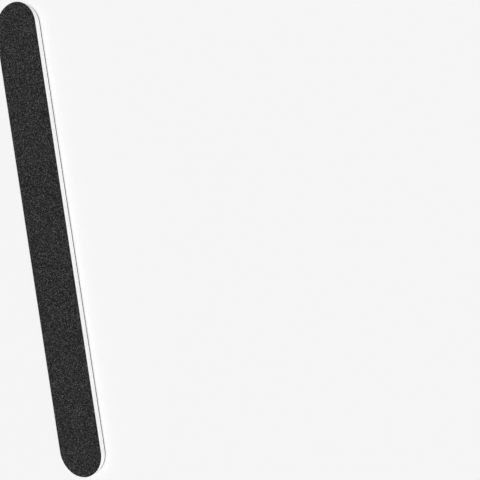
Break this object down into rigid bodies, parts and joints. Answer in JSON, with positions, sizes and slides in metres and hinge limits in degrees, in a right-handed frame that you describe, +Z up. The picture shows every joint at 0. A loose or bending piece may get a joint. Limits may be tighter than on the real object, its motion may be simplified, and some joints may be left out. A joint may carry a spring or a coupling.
{
  "type": "emery board",
  "caption": "Flat double-sided nail file with full round ends: fine and coarse black grit sheets glued to a white foam and plastic core.",
  "frame": {"origin": "middle of the underside, on the surface that the board lies on", "axes": "+Y along the board's length, +X across its width, +Z up out of the fine face"},
  "size_m": [0.019, 0.178, 0.003],
  "materials": {
    "fine_grit": "fine dark grey abrasive grain in a matt black top coat",
    "coarse_grit": "coarse black abrasive grain with small bright facets",
    "bond_resin": "black bond resin",
    "black_paper": "latex-filled black backing paper, cut edge",
    "clear_adhesive": "thin film of clear adhesive",
    "white_foam": "fine-celled white foam, cut edge",
    "white_plastic": "white plastic sheet, cut edge"
  },
  "bodies": {
    "root": {"coarse_grain_coat": "coarse_grit", "coarse_make_coat": "bond_resin", "coarse_backing_paper": "black_paper", "coarse_paper_adhesive": "clear_adhesive", "coarse_side_foam": "white_foam", "coarse_core_adhesive": "clear_adhesive", "core_strip": "white_plastic", "fine_core_adhesive": "clear_adhesive", "fine_side_foam": "white_foam", "fine_paper_adhesive": "clear_adhesive", "fine_backing_paper": "black_paper", "fine_make_coat": "bond_resin", "fine_grain_coat": "fine_grit"}
  },
  "joints": []
}
